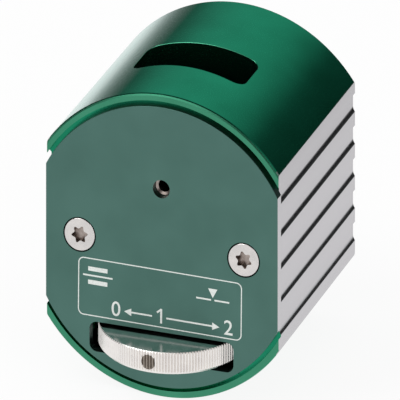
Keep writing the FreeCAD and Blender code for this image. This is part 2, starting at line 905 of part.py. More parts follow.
def jaw_screw_points():
    x = (jaw_guide_back + jaw_guide_face) / 2
    reach = (jaw_length + jaw_foot_reach) / 2
    return [(x, camshaft_depth - reach), (x, camshaft_depth + reach)]


def jaw_guide_screws():
    top = deck + jaw_foot_height
    depth = jaw_foot_height + deck_thickness
    screws = [cheese_screw(vec(x, y, top), -Z, depth) for x, y in jaw_screw_points()]
    return Part.makeCompound(screws)


def jaw_spring():
    # A coil round the stem, between the guide and the back of the head.
    radius = stem_radius + jaw_spring_wire + 0.25
    length = jaw_spring_room - 2 * jaw_spring_wire - 0.1
    pitch = length / jaw_spring_turns
    coil = Part.makeLoft(coil_sections(radius, jaw_spring_wire, pitch, jaw_spring_turns, 0), True, True)
    coil.rotate(vec(0, 0, 0), Y, 90)
    coil.translate(vec(jaw_guide_face + jaw_spring_wire + 0.05, camshaft_depth, jaw_level))
    return coil


def main():
    os.makedirs("parts", exist_ok=True)
    save("housing", housing())
    save("front_plate", front_plate())
    save("front_plate_screws", front_plate_screws())
    save("thumbwheel", thumbwheel())
    save("index_pin", index_pin())
    save("wheel_axle", wheel_axle())
    save("wheel_screw", wheel_screw())
    save("drive_gear", drive_gear())
    save("spring_driver", spring_driver())
    save("spring_stop", spring_stop())
    save("centring_spring", centring_spring())
    save("chassis", chassis())
    save("axle_lower_bush", bush(0, axle_y, wheel_top + running, shelf))
    save("axle_upper_bush", bush(0, axle_y, gear_top + running, deck))
    save("camshaft_lower_bush", bush(camshaft_x, camshaft_depth, frame_bottom, shelf))
    save("camshaft_upper_bush",
         bush(camshaft_x, camshaft_depth, gear_top + running, snail_base - running))
    save("guide_block", guide_block())
    save("entry_bush", entry_bush())
    save("guide_nozzle", guide_nozzle())
    save("camshaft", camshaft())
    save("cam_gear", cam_gear())
    save("snail_cam", snail_cam())
    save("clamp_roller", clamp_roller())
    save("blade_rail", blade_rail())
    save("blade_carriage", blade_carriage())
    save("blade", blade())
    save("blade_clamp", blade_clamp())
    save("blade_clamp_screw", blade_clamp_screw())
    save("follower_pin", follower_pin())
    save("blade_spring", blade_spring())
    save("blade_spring_screw", blade_spring_screw())
    save("anvil", anvil())
    save("jaw", jaw())
    save("jaw_pad", jaw_pad())
    save("jaw_clip", jaw_clip())
    save("jaw_guide", jaw_guide())
    save("jaw_guide_screws", jaw_guide_screws())
    save("jaw_spring", jaw_spring())


main()
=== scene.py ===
import bpy
import bmesh
import json
import math
from mathutils import Matrix, Vector

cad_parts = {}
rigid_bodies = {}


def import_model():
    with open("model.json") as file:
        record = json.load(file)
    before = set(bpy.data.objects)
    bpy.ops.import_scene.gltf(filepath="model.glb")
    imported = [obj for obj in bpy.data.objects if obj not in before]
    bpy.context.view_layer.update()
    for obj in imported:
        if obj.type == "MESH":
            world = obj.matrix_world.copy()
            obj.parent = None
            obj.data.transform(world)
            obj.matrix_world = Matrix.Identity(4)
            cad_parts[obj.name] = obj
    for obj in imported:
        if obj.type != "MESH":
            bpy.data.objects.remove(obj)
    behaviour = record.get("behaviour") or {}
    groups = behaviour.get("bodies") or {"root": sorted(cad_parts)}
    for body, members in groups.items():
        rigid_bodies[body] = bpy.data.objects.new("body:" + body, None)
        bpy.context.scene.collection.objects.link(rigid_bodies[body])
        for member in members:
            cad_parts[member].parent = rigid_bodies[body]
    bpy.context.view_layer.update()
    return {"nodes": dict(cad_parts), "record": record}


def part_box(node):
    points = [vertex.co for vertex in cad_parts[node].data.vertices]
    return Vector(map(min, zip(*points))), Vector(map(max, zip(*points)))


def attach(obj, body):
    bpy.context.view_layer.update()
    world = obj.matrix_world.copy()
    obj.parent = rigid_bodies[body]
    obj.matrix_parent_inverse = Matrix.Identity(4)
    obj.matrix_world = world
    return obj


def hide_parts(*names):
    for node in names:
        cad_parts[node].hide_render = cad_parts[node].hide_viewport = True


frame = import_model()
mm = 0.001
past = 1 * mm           # how far a cutter reaches past what it cuts
lap = 0.01 * mm         # how much two cutters share where they meet
weld = 0.002 * mm       # closer points than this become one after a cut
tiny = 0.0001 * mm      # takes two places as the same
print("frame loaded:", len(frame["nodes"]), "nodes")


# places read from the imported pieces
barLow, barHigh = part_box("housing")
barRadius = (barHigh.z - barLow.z) / 2
axisZ = (barHigh.z + barLow.z) / 2
rimY = barLow.y
backY = barHigh.y
halfFlats = barHigh.x
plateLow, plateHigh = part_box("front_plate")
plateRadius = (plateHigh.z - plateLow.z) / 2
plateFrontY = plateLow.y
seatY = plateHigh.y
wheelLow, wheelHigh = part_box("thumbwheel")
wheelRadius = (wheelHigh.x - wheelLow.x) / 2
wheelY = (wheelLow.y + wheelHigh.y) / 2
screwLow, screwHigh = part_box("front_plate_screws")
screwHeadRadius = (screwHigh.z - screwLow.z) / 2
screwX = screwHigh.x - screwHeadRadius
chassisLow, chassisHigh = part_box("chassis")
bushLow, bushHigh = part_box("entry_bush")
fibreZ = (bushLow.z + bushHigh.z) / 2
towardsBack = Matrix.Rotation(math.radians(-90), 4, "X")   # turns +Z to +Y


# ---------- bmesh helpers

def looseObject(bm, name):
    bmesh.ops.recalc_face_normals(bm, faces=bm.faces)
    mesh = bpy.data.meshes.new(name)
    bm.to_mesh(mesh)
    bm.free()
    thing = bpy.data.objects.new(name, mesh)
    bpy.context.scene.collection.objects.link(thing)
    return thing


def asPiece(name, bm, body, material, nodes, smooth):
    # smooth is the angle in degrees under which faces are shaded as one, 0 for flat shading
    piece = looseObject(bm, name)
    piece.data.materials.append(material)
    for face in piece.data.polygons:
        face.use_smooth = smooth > 0
    if smooth > 0:
        piece.data.set_sharp_from_angle(angle=math.radians(smooth))
    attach(piece, body)
    if nodes:
        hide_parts(*nodes)
    return piece


def carve(bm, cutters, operation="DIFFERENCE"):
    # applies exact booleans and hands back the carved bmesh
    body = looseObject(bm, "carveBody")
    tools = [looseObject(cutter, "carveTool") for cutter in cutters]
    for tool in tools:
        cut = body.modifiers.new("cut", "BOOLEAN")
        cut.operation = operation
        cut.solver = "EXACT"
        cut.object = tool
    graph = bpy.context.evaluated_depsgraph_get()
    carved = bpy.data.meshes.new_from_object(body.evaluated_get(graph))
    result = bmesh.new()
    result.from_mesh(carved)
    for thing in [body] + tools:
        mesh = thing.data
        bpy.data.objects.remove(thing)
        bpy.data.meshes.remove(mesh)
    bpy.data.meshes.remove(carved)
    bmesh.ops.remove_doubles(result, verts=result.verts, dist=weld)
    return result


def pushOut(bm, faces, step):
    # extrudes the faces by one step
    grown = bmesh.ops.extrude_face_region(bm, geom=faces)
    moved = [g for g in grown["geom"] if isinstance(g, bmesh.types.BMVert)]
    bmesh.ops.translate(bm, verts=moved, vec=step)


def bevelEdges(bm, edges, width, segments, clamp=False):
    bmesh.ops.bevel(bm, geom=edges, offset=width, segments=segments, profile=0.5,
                    affect="EDGES", material=-1, clamp_overlap=clamp)


def breakEdges(bm, width, minAngle, segments, test):
    edges = [e for e in bm.edges if len(e.link_faces) == 2
             and e.calc_face_angle(0) > math.radians(minAngle) and test(e)]
    bevelEdges(bm, edges, width, segments, clamp=True)


def roundBar(radius, farRadius, length, place, segments):
    # a bar or cone along local Z, about its middle
    bm = bmesh.new()
    bmesh.ops.create_cone(bm, cap_ends=True, segments=segments, radius1=radius,
                          radius2=farRadius, depth=length, matrix=place)
    return bm


def diskBar(radius, y0, y1, segments, x=0, z=axisZ, farRadius=None):
    # a round bar along Y, or a cone with farRadius
    place = Matrix.Translation((x, (y0 + y1) / 2, z)) @ towardsBack
    return roundBar(radius, farRadius or radius, y1 - y0, place, segments)


def upright(radius, z0, z1, y, segments):
    # a round bar along Z
    place = Matrix.Translation((0, y, (z0 + z1) / 2))
    return roundBar(radius, radius, z1 - z0, place, segments)


def roundedBox(low, high, axis, radius, segments=6):
    # a box whose edges along one axis (0, 1, 2) are rounded
    bm = bmesh.new()
    size = Vector(high) - Vector(low)
    place = Matrix.Translation((Vector(low) + Vector(high)) / 2) @ Matrix.Diagonal((*size, 1))
    bmesh.ops.create_cube(bm, size=1, matrix=place)
    if radius:
        corners = [e for e in bm.edges
                   if abs((e.verts[0].co - e.verts[1].co).normalized()[axis]) > 0.99]
        bevelEdges(bm, corners, radius, segments)
    return bm


def cutSides(bm, halfWidth):
    # takes both sides off a bar, leaving two flats
    for side in (-1, 1):
        geom = bm.verts[:] + bm.edges[:] + bm.faces[:]
        cut = bmesh.ops.bisect_plane(bm, geom=geom, dist=tiny, clear_outer=True,
                                     plane_co=(side * halfWidth, 0, 0), plane_no=(side, 0, 0))
        loop = [g for g in cut["geom_cut"] if isinstance(g, bmesh.types.BMEdge)]
        bmesh.ops.edgeloop_fill(bm, edges=loop)


def spinProfile(points, place, steps):
    # turns (radius, height) points about local Z, then puts the result in place
    bm = bmesh.new()
    verts = [bm.verts.new((r, 0, h)) for r, h in points]
    for a, b in zip(verts, verts[1:] + verts[:1]):
        bm.edges.new((a, b))
    bmesh.ops.spin(bm, geom=bm.verts[:] + bm.edges[:], cent=(0, 0, 0), axis=(0, 0, 1),
                   angle=math.radians(360), steps=steps, use_merge=True)
    bmesh.ops.remove_doubles(bm, verts=bm.verts, dist=weld / 4)
    bmesh.ops.transform(bm, matrix=place, verts=bm.verts)
    return bm


def lobedPrism(points, radiusAt, depth, place):
    # a prism on local Z whose outline is radiusAt(angle)
    bm = bmesh.new()
    ring = bmesh.ops.create_circle(bm, cap_ends=True, segments=points, radius=1)["verts"]
    for v in ring:
        v.co *= radiusAt(math.atan2(v.co.y, v.co.x))
    pushOut(bm, bm.faces[:], (0, 0, depth))
    bmesh.ops.transform(bm, matrix=place, verts=bm.verts)
    return bm


# ---------- materials

def socketGroup(name, inputs, outputs):
    group = bpy.data.node_groups.new(name, "ShaderNodeTree")
    for label, kind, value in inputs:
        socket = group.interface.new_socket(label, in_out="INPUT", socket_type=kind)
        if value is not None:
            socket.default_value = value
    for label, kind in outputs:
        group.interface.new_socket(label, in_out="OUTPUT", socket_type=kind)
    return group, group.nodes.new("NodeGroupInput"), group.nodes.new("NodeGroupOutput")


def buildGrain():
    # fine blasted grain with slow clouding under it
    group, inlet, outlet = socketGroup(
        "anodisedGrain",
        [("Vector", "NodeSocketVector", None), ("Grain Scale", "NodeSocketFloat", 9000),
         ("Cloud Scale", "NodeSocketFloat", 120)],
        [("Grain", "NodeSocketFloat"), ("Cloud", "NodeSocketFloat")])
    links = group.links
    for name, detail in (("Grain", 3), ("Cloud", 2)):
        noise = group.nodes.new("ShaderNodeTexNoise")
        noise.inputs["Detail"].default_value = detail
        links.new(inlet.outputs["Vector"], noise.inputs["Vector"])
        links.new(inlet.outputs[name + " Scale"], noise.inputs["Scale"])
        links.new(noise.outputs["Fac"], outlet.inputs[name])
    return group


def buildLines():
    # drawn-out scratches: the Stretch vector sets how tight they lie along each axis
    group, inlet, outlet = socketGroup(
        "machinedLines",
        [("Vector", "NodeSocketVector", None), ("Stretch", "NodeSocketVector", (1, 1, 1)),
         ("Scale", "NodeSocketFloat", 4000)],
        [("Lines", "NodeSocketFloat")])
    links = group.links
    stretch = group.nodes.new("ShaderNodeVectorMath")
    stretch.operation = "MULTIPLY"
    noise = group.nodes.new("ShaderNodeTexNoise")
    noise.inputs["Detail"].default_value = 4
    links.new(inlet.outputs["Vector"], stretch.inputs[0])
    links.new(inlet.outputs["Stretch"], stretch.inputs[1])
    links.new(stretch.outputs[0], noise.inputs["Vector"])
    links.new(inlet.outputs["Scale"], noise.inputs["Scale"])
    links.new(noise.outputs["Fac"], outlet.inputs["Lines"])
    return group


grainGroup = buildGrain()
linesGroup = buildLines()


def newMaterial(name):
    material = bpy.data.materials.new(name)
    material.use_nodes = True
    nodes, links = material.node_tree.nodes, material.node_tree.links
    shader = nodes["Principled BSDF"]
    coords = nodes.new("ShaderNodeTexCoord")
    return material, nodes, links, shader, coords


def addTexture(nodes, links, coords, group, settings):
    # a shared texture, laid over the piece's own coordinates
    texture = nodes.new("ShaderNodeGroup")
    texture.node_tree = group
    for socket, value in settings.items():
        texture.inputs[socket].default_value = value
    links.new(coords.outputs["Object"], texture.inputs["Vector"])
    return texture.outputs


def mixColours(nodes, links, factor, a, b):
    mix = nodes.new("ShaderNodeMix")
    mix.data_type = "RGBA"
    for socket, colour in ((mix.inputs[6], a), (mix.inputs[7], b)):
        if isinstance(colour, tuple):
            socket.default_value = (*colour, 1)
        else:
            links.new(colour, socket)
    links.new(factor, mix.inputs[0])
    return mix.outputs[2]


def rampValue(nodes, links, source, low, high, fromLow=0.3, fromHigh=0.7):
    # the usual range is that of a noise texture
    span = nodes.new("ShaderNodeMapRange")
    span.inputs["From Min"].default_value = fromLow
    span.inputs["From Max"].default_value = fromHigh
    span.inputs["To Min"].default_value = low
    span.inputs["To Max"].default_value = high
    links.new(source, span.inputs["Value"])
    return span.outputs["Result"]


def combineValues(nodes, links, operation, a, b):
    node = nodes.new("ShaderNodeMath")
    node.operation = operation
    links.new(a, node.inputs[0])
    links.new(b, node.inputs[1])
    return node.outputs[0]


def bumpFrom(nodes, links, shader, height, strength, distance):
    bump = nodes.new("ShaderNodeBump")
    bump.inputs["Strength"].default_value = strength
    bump.inputs["Distance"].default_value = distance
    links.new(height, bump.inputs["Height"])
    links.new(bump.outputs["Normal"], shader.inputs["Normal"])


surface = {"grainSpread": 0.04, "grainHeight": 0.004 * mm, "lineSpread": 0.2,
           "lineHeight": 0.003 * mm}


def anodised(name, look):
    # dyed aluminium: metal under a clear coat whose weight rises at a grazing angle, where the
    # dyed base colour is also mixed to a pale tone as a painted sheen
    material, nodes, links, shader, coords = newMaterial(name)
    grain = addTexture(nodes, links, coords, grainGroup, {"Grain Scale": look["grainScale"]})
    tone = rampValue(nodes, links, grain["Cloud"], 0, 1)
    dye = mixColours(nodes, links, tone, look["dark"], look["light"])
    facing = nodes.new("ShaderNodeLayerWeight")
    facing.inputs["Blend"].default_value = 0.5
    sheen = rampValue(nodes, links, facing.outputs["Facing"], 0, 1, *look["sheenRange"])
    # painted sheen: towards a grazing angle the base colour turns from the dye to a pale tone
    paintedSheen = mixColours(nodes, links, sheen, dye, look["paintedSheen"])
    rough = rampValue(nodes, links, grain["Grain"], look["roughness"] - surface["grainSpread"],
                      look["roughness"] + surface["grainSpread"])
    links.new(paintedSheen, shader.inputs["Base Color"])
    links.new(sheen, shader.inputs["Coat Weight"])
    links.new(rough, shader.inputs["Roughness"])
    shader.inputs["Coat Roughness"].default_value = look["roughness"]
    shader.inputs["Metallic"].default_value = 1
    shader.inputs["Specular Tint"].default_value = (*look["edge"], 1)
    bumpFrom(nodes, links, shader, grain["Grain"], look["bump"], surface["grainHeight"])
    return material


def metal(name, look):
    material, nodes, links, shader, coords = newMaterial(name)
    lines = addTexture(nodes, links, coords, linesGroup,
                       {"Stretch": look["stretch"], "Scale": look["scale"]})["Lines"]
    tone = rampValue(nodes, links, lines, 0, 1)
    colour = mixColours(nodes, links, tone, look["dark"], look["light"])
    rough = rampValue(nodes, links, lines, look["roughness"] * (1 - surface["lineSpread"]),
                      look["roughness"] * (1 + surface["lineSpread"]))
    links.new(colour, shader.inputs["Base Color"])
    links.new(rough, shader.inputs["Roughness"])
    shader.inputs["Metallic"].default_value = 1
    bumpFrom(nodes, links, shader, lines, look["bump"], surface["lineHeight"])
    return material


def printed(name, look):
    material, nodes, links, shader, coords = newMaterial(name)
    grain = addTexture(nodes, links, coords, grainGroup, {"Grain Scale": look["grainScale"]})
    tone = rampValue(nodes, links, grain["Grain"], 0, 1)
    ink = mixColours(nodes, links, tone, look["dark"], look["light"])
    links.new(ink, shader.inputs["Base Color"])
    shader.inputs["Roughness"].default_value = look["roughness"]
    return material


# each look: dark and light dye tones, the pale painted sheen tone and the facing range over which
# the base colour turns to it, edge tint, roughness, grain scale and bump
anodisedLooks = {
    "greenBody": {"dark": (0.012, 0.2, 0.105), "light": (0.016, 0.25, 0.135),
                  "paintedSheen": (0.9, 0.76, 0.8), "sheenRange": (0.72, 0.85), "edge": (0.56, 0.9, 0.8),
                  "roughness": 0.24, "grainScale": 9000, "bump": 0.15},
    # pale lilac-grey copy of the body anodising for the side flats and the plate's sides: painted
    # sheen of faces seen at a grazing angle
    "flatSheen": {"dark": (0.2, 0.27, 0.25), "light": (0.24, 0.3, 0.28),
                  "paintedSheen": (0.34, 0.325, 0.35), "sheenRange": (0.35, 0.68), "edge": (1, 1, 1),
                  "roughness": 0.2, "grainScale": 9000, "bump": 0.15},
    "greenPlate": {"dark": (0.074, 0.158, 0.134), "light": (0.086, 0.18, 0.154),
                   "paintedSheen": (0.3, 0.36, 0.36), "sheenRange": (0.5, 1.0), "edge": (1, 1, 1),
                   "roughness": 0.34, "grainScale": 12000, "bump": 0.25},
    # lighter copy of the body anodising for the front rim face and the window's edge breaks:
    # painted highlight, on edges whose bevels also catch real light
    "rimHighlight": {"dark": (0.045, 0.23, 0.135), "light": (0.058, 0.275, 0.165),
                 "paintedSheen": (0.4, 0.5, 0.45), "sheenRange": (0.5, 1.0), "edge": (0.8, 1, 0.9),
                 "roughness": 0.3, "grainScale": 12000, "bump": 0.2},
    "blackAnodised": {"dark": (0.008, 0.008, 0.009), "light": (0.014, 0.014, 0.015),
                      "paintedSheen": (0.06, 0.06, 0.06), "sheenRange": (0.5, 1.0), "edge": (1, 1, 1),
                      "roughness": 0.42, "grainScale": 9000, "bump": 0.2},
}
metalLooks = {
    "turnedSteel": {"dark": (0.5, 0.5, 0.49), "light": (0.66, 0.65, 0.63),
                    "roughness": 0.22, "stretch": (1, 12, 1), "scale": 900, "bump": 0.2},
    "screwSteel": {"dark": (0.62, 0.6, 0.59), "light": (0.72, 0.69, 0.67),
                   "roughness": 0.3, "stretch": (1, 1, 1), "scale": 700, "bump": 0.05},
    # nickel and nickelTeeth are shaded and lit copies of one plating: the wheel's mirror top and
    # bottom take the dark one as painted shade, the knurl the light one; nickel is also the
    # finish of the frame's polished steel
    "nickel": {"dark": (0.4, 0.4, 0.39), "light": (0.52, 0.51, 0.5),
               "roughness": 0.16, "stretch": (1, 1, 1), "scale": 700, "bump": 0.05},
    "nickelTeeth": {"dark": (0.8, 0.77, 0.75), "light": (0.9, 0.87, 0.84),
                    "roughness": 0.3, "stretch": (1, 1, 1), "scale": 500, "bump": 0.03},
    "indexMetal": {"dark": (0.25, 0.22, 0.19), "light": (0.36, 0.32, 0.28),
                   "roughness": 0.4, "stretch": (1, 1, 3), "scale": 900, "bump": 0.2},
    "gearSteel": {"dark": (0.3, 0.3, 0.3), "light": (0.42, 0.42, 0.41),
                  "roughness": 0.3, "stretch": (1, 1, 8), "scale": 800, "bump": 0.3},
    "springSteel": {"dark": (0.25, 0.25, 0.26), "light": (0.4, 0.4, 0.41),
                    "roughness": 0.28, "stretch": (1, 1, 1), "scale": 900, "bump": 0.2},
    "bronze": {"dark": (0.42, 0.25, 0.1), "light": (0.6, 0.38, 0.17),
               "roughness": 0.32, "stretch": (1, 1, 10), "scale": 900, "bump": 0.2},
    # darker steel for the screws' star recesses and for the bush lip down in the fibre hole:
    # painted shade
    "recessShadeSteel": {"dark": (0.2, 0.16, 0.14), "light": (0.46, 0.4, 0.37),
                    "roughness": 0.3, "stretch": (1, 1, 1), "scale": 900, "bump": 0.1},
    # dark steel for the fibre entry funnel: painted shade down the bore
    "boreShadeSteel": {"dark": (0.09, 0.08, 0.085), "light": (0.3, 0.28, 0.28),
                  "roughness": 0.14, "stretch": (1, 1, 1), "scale": 700, "bump": 0.1},
    "carbide": {"dark": (0.2, 0.2, 0.21), "light": (0.28, 0.28, 0.29),
                "roughness": 0.2, "stretch": (6, 1, 1), "scale": 900, "bump": 0.15},
}
printedLooks = {
    "printedWhite": {"dark": (0.66, 0.7, 0.67), "light": (0.78, 0.81, 0.78),
                     "roughness": 0.55, "grainScale": 5000},
}
finishes = {}
for looks, make in ((anodisedLooks, anodised), (metalLooks, metal), (printedLooks, printed)):
    for name, look in looks.items():
        finishes[name] = make(name, look)
print("materials ready")


# ---------- housing

housing = {"segments": 320, "chamfer": 0.35 * mm, "chamferSegments": 2, "rim": 1.15 * mm,
           "backWall": 7.0 * mm, "stepCount": 5, "stepPitch": 5.4 * mm, "topStep": 9.45 * mm,
           "stepDepth": 0.35 * mm, "groove": 3.1 * mm, "entry": 0.35 * mm, "curve": 0.95 * mm,
           "arcPoints": 8, "pocketHalf": 11.0 * mm, "pocketRoof": 18.0 * mm,
           "pocketRadius": 1.0 * mm, "windowHalf": 9.9 * mm, "windowFront": 11.7 * mm,
           "windowBack": 21.2 * mm, "windowRadius": 2.0 * mm, "windowSegments": 10,
           "windowBreak": 0.2 * mm, "windowAngle": 30, "windowZone": 0.4 * mm,
           "windowFacet": 2.0 * mm, "wheelRoom": 0.6 * mm, "wheelFloor": 1.5 * mm,
           "roomSegments": 128, "edgeBreak": 0.1 * mm, "edgeSegments": 2, "edgeAngle": 40,
           "sheenDepth": 0.05 * mm, "flatShare": 1.1}


def stepGrooves(side):
    # one cutter for all grooves of one flat
    bm = bmesh.new()
    outer = side * (halfFlats + 2 * past)
    face = side * halfFlats
    floor = side * (halfFlats - housing["stepDepth"])
    radius = (housing["curve"] ** 2 + housing["stepDepth"] ** 2) / (2 * housing["stepDepth"])
    sweep = math.asin(housing["curve"] / radius)
    for step in range(housing["stepCount"]):
        edgeZ = axisZ + housing["topStep"] - step * housing["stepPitch"]
        top = edgeZ + housing["groove"]
        outline = [(outer, top), (face, top), (floor, top - housing["entry"])]
        for n in range(housing["arcPoints"] + 1):
            tilt = sweep * n / housing["arcPoints"]
            outline.append((floor + side * radius * (1 - math.cos(tilt)),
                            edgeZ + housing["curve"] - radius * math.sin(tilt)))
        outline.append((outer, edgeZ))
        verts = [bm.verts.new((x, rimY - past, z)) for x, z in outline]
        pushOut(bm, [bm.faces.new(verts)], (0, backY - rimY + 2 * past, 0))
    return bm


def onWindowRim(point):
    # near the edge where the window breaks through the round
    zone = housing["windowZone"]
    depth = barRadius - math.hypot(point.x, point.z - axisZ)
    nearX = abs(point.x) < housing["windowHalf"] + zone
    nearY = housing["windowFront"] - zone < point.y - rimY < housing["windowBack"] + zone
    return point.z > axisZ and nearX and nearY and -lap < depth < zone


def housingPiece():
    bm = diskBar(barRadius, rimY, backY, housing["segments"])
    rims = [e for e in bm.edges if abs(e.verts[0].co.y - e.verts[1].co.y) < tiny]
    bevelEdges(bm, rims, housing["chamfer"], housing["chamferSegments"])
    cutSides(bm, halfFlats)
    pocketLow = (-housing["pocketHalf"], rimY - past, chassisLow.z)
    pocketHigh = (housing["pocketHalf"], backY - housing["backWall"],
                  axisZ + housing["pocketRoof"])
    windowLow = (-housing["windowHalf"], rimY + housing["windowFront"], pocketHigh[2] - past)
    windowHigh = (housing["windowHalf"], rimY + housing["windowBack"], axisZ + barRadius + past)
    roomRadius = wheelRadius + housing["wheelRoom"]
    roomFloor = wheelLow.z - housing["wheelFloor"]
    roomTop = chassisLow.z + lap
    cutters = [
        diskBar(barRadius - housing["rim"], rimY - past, seatY, housing["segments"]),
        roundedBox(pocketLow, pocketHigh, 1, housing["pocketRadius"]),
        roundedBox(windowLow, windowHigh, 2, housing["windowRadius"], housing["windowSegments"]),
        upright(roomRadius, roomFloor, roomTop, wheelY, housing["roomSegments"]),
        roundedBox((-roomRadius, rimY - past, roomFloor), (roomRadius, wheelY, roomTop), 1, 0),
        stepGrooves(1), stepGrooves(-1),
    ]
    bm = carve(bm, cutters)
    breakEdges(bm, housing["windowBreak"], housing["windowAngle"], 1,
               lambda e: all(onWindowRim(v.co) for v in e.verts))
    piece = asPiece("barBody", bm, "housing", finishes["greenBody"], ["housing"],
                    smooth=12)
    piece.data.materials.append(finishes["rimHighlight"])
    piece.data.materials.append(finishes["flatSheen"])
    facetArea = housing["windowFacet"] * housing["windowBreak"]
    flatFloor = halfFlats - housing["stepDepth"] * housing["flatShare"]
    for face in piece.data.polygons:
        # the front rim and the window's edge breaks take the lighter rim copy: painted highlight
        if face.normal.y < -0.5 and face.center.y < rimY + housing["chamfer"]:
            face.material_index = 1
        corners = [piece.data.vertices[v].co for v in face.vertices]
        if all(onWindowRim(c) for c in corners) and face.area < facetArea:
            face.material_index = 1
        # sideways faces below the round take the pale flat copy: painted sheen
        out = math.hypot(face.center.x, face.center.z - axisZ)
        sideways = abs(face.center.x) > flatFloor and abs(face.normal.x) > 0.5
        if sideways and out < barRadius - housing["sheenDepth"]:
            face.material_index = 2
    edges = piece.modifiers.new("edgeBreak", "BEVEL")
    edges.width = housing["edgeBreak"]
    edges.segments = housing["edgeSegments"]
    edges.limit_method = "ANGLE"
    edges.angle_limit = math.radians(housing["edgeAngle"])
    edges.harden_normals = True


housingPiece()
print("housing made")


# ---------- front plate

plate = {"segments": 320, "gap": 0.4 * mm, "edge": 0.06 * mm, "edgeAngle": 60,
         "edgeSegments": 2, "holeRadius": 1.5 * mm, "holeSegments": 64, "headWell": 0.8 * mm,
         "headRoom": 0.22 * mm, "headSegments": 72, "screwRadius": 1.5 * mm,
         "slotHalf": 12.65 * mm, "slotHeight": 4.95 * mm, "slotLip": 0.4 * mm,
         "slotRadius": 1.3 * mm, "slotSegments": 10}


def platePiece():
    bm = diskBar(plateRadius - plate["gap"], plateFrontY, seatY, plate["segments"])
    cutSides(bm, halfFlats)
    breakEdges(bm, plate["edge"], plate["edgeAngle"], plate["edgeSegments"],
               lambda e: max(v.co.y for v in e.verts) < plateFrontY + tiny)
    front, back = plateFrontY - past, seatY + past
    slotTop = wheelHigh.z + plate["slotLip"]
    cutters = [
        diskBar(plate["holeRadius"], front, back, plate["holeSegments"], z=fibreZ),
        roundedBox((-plate["slotHalf"], front, slotTop - plate["slotHeight"]),
                   (plate["slotHalf"], back, slotTop), 1, plate["slotRadius"],
                   plate["slotSegments"]),
    ]
    wide = screwHeadRadius + plate["headRoom"]
    bore = plate["screwRadius"] + plate["headRoom"]
    well = plateFrontY + plate["headWell"]
    for x in (-screwX, screwX):
        cutters.append(diskBar(wide, front, well, plate["headSegments"], x=x))
        cutters.append(diskBar(wide, well - lap, well + wide - bore, plate["headSegments"],
                               x=x, farRadius=bore))
        cutters.append(diskBar(bore, plateFrontY, back, plate["headSegments"], x=x))
    bm = carve(bm, cutters)
    piece = asPiece("facePlate", bm, "housing", finishes["greenPlate"], ["front_plate"],
                    smooth=20)
    piece.data.materials.append(finishes["flatSheen"])
    # the plate's sides take the pale flat copy: painted sheen
    for face in piece.data.polygons:
        if abs(face.normal.x) > 0.9 and abs(face.center.x) > halfFlats - lap:
            face.material_index = 1


platePiece()
print("front plate made")


# ---------- plate screws

screw = {"segments": 96, "neck": 1.5 * mm, "length": 9.4 * mm, "rim": 0.12 * mm,
         "edge": 0.03 * mm, "starPoints": 96, "lobe": 1.44 * mm, "valley": 1.0 * mm,
         "lobePower": 1.4, "depth": 0.85 * mm, "recessZone": 0.02 * mm, "recessReach": 1.2,
         "twists": ((-1, -9), (1, 18))}


def starRadius(angle):
    # six pointed lobes with round valleys between them
    swing = (1 + math.cos(6 * angle)) / 2
    return screw["valley"] + (screw["lobe"] - screw["valley"]) * swing ** screw["lobePower"]


def screwPiece():
    both = bmesh.new()
    head = screwHeadRadius
    outline = [(0, 0), (head - screw["edge"], 0), (head, screw["edge"]), (head, screw["rim"]),
               (screw["neck"], screw["rim"] + head - screw["neck"]),
               (screw["neck"], screw["length"]), (0, screw["length"])]
    for side, twist in screw["twists"]:
        place = Matrix.Translation((side * screwX, plateFrontY, axisZ)) @ towardsBack
        turned = place @ Matrix.Rotation(math.radians(twist), 4, "Z")
        deep = turned @ Matrix.Translation((0, 0, -past))
        star = lobedPrism(screw["starPoints"], starRadius, past + screw["depth"], deep)
        bm = carve(spinProfile(outline, place, screw["segments"]), [star])
        mesh = bpy.data.meshes.new("oneScrew")
        bm.to_mesh(mesh)
        bm.free()
        both.from_mesh(mesh)
        bpy.data.meshes.remove(mesh)
    piece = asPiece("plateScrews", both, "housing", finishes["screwSteel"],
                    ["front_plate_screws"], smooth=25)
    piece.data.materials.append(finishes["recessShadeSteel"])
    # faces inside the star recess take the darker steel: painted shade in the recess
    for face in piece.data.polygons:
        out = math.hypot(abs(face.center.x) - screwX, face.center.z - axisZ)
        depth = face.center.y - plateFrontY
        inRecess = lap < depth < screw["recessReach"] * screw["depth"]
        if inRecess and out < screw["lobe"] + screw["recessZone"]:
            face.material_index = 1


screwPiece()
print("screws made")


# ---------- thumbwheel

wheel = {"teeth": 156, "toothPoints": 3, "toothDepth": 0.22 * mm, "topBevel": 0.2 * mm,
         "ring": 0.26 * mm, "ringEnd": 0.15 * mm, "ringDrop": 0.04 * mm,
         "bottomBevel": 0.55 * mm, "clear": 0.02 * mm, "reach": 0.5 * mm, "segments": 144,
         "indexRadius": 1.2 * mm, "indexHole": 2.0 * mm, "indexDepth": 1.9 * mm,
         "indexSegments": 48}


def toothRadius(angle):
    # two points to a crest and one to a valley
    turns = angle / (2 * math.pi)
    point = round(turns * wheel["toothPoints"] * wheel["teeth"]) % wheel["toothPoints"]
    return wheelRadius - (0 if point else wheel["toothDepth"])


def knurledDisc():
    # a toothed prism cut to a turned disc, which bevels the ends of the teeth
    height = wheelHigh.z - wheelLow.z
    place = Matrix.Translation((0, wheelY, wheelLow.z))
    prism = lobedPrism(wheel["toothPoints"] * wheel["teeth"], toothRadius, height, place)
    r = wheelRadius + wheel["clear"]
    reach = wheel["reach"]
    outline = [(0, -reach), (r - wheel["bottomBevel"] - reach, -reach),
               (r, wheel["bottomBevel"]), (r, height - wheel["topBevel"]),
               (r - wheel["ringEnd"], height - wheel["ringDrop"]), (r - wheel["ring"], height),
               (r - wheel["ring"], height + reach), (0, height + reach)]
    return carve(prism, [spinProfile(outline, place, wheel["segments"])], "INTERSECT")


